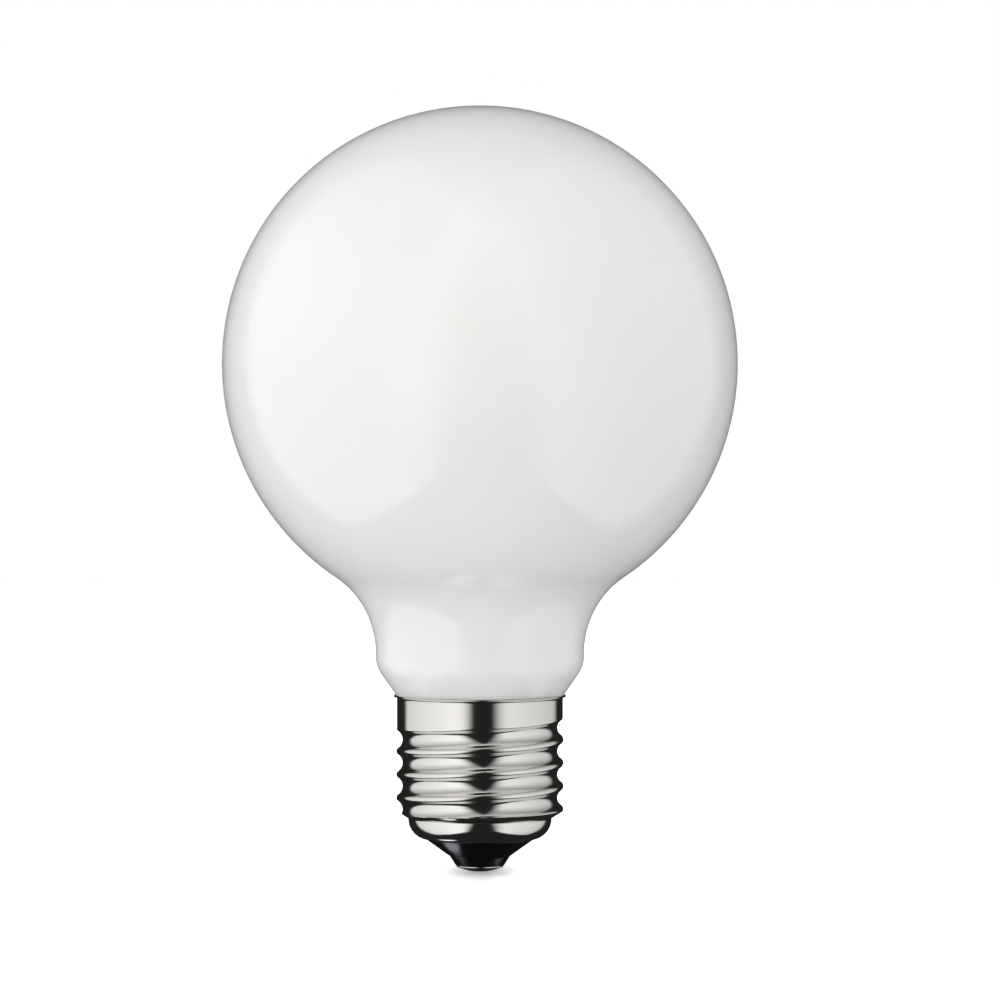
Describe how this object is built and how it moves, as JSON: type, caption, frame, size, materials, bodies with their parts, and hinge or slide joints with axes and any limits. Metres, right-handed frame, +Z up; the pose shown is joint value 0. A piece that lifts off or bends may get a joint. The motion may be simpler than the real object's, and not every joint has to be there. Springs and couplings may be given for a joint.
{
  "type": "globe bulb",
  "caption": "Globe bulb: a round opal glass envelope that runs into a short neck, on a nickel-plated screw cap with a black insulator and a domed centre contact.",
  "frame": {"origin": "the lowest point of the centre contact, on the bulb's axis", "axes": "+Z up the bulb's axis from the cap to the globe; -Y towards the picture's camera, +X to its right"},
  "size_m": [0.08, 0.08, 0.119],
  "materials": {
    "opal_glass": "glossy opal white",
    "nickel_plated_brass": "bright nickel plate on pressed brass",
    "cement": "matt baked cement",
    "black_glass": "glossy black, moulded",
    "contact_metal": "bright nickel plate"
  },
  "bodies": {
    "root": {"glass_bulb": "opal_glass", "screw_shell": "nickel_plated_brass", "capping_cement": "cement", "cap_insulator": "black_glass", "centre_contact": "contact_metal"}
  },
  "joints": []
}
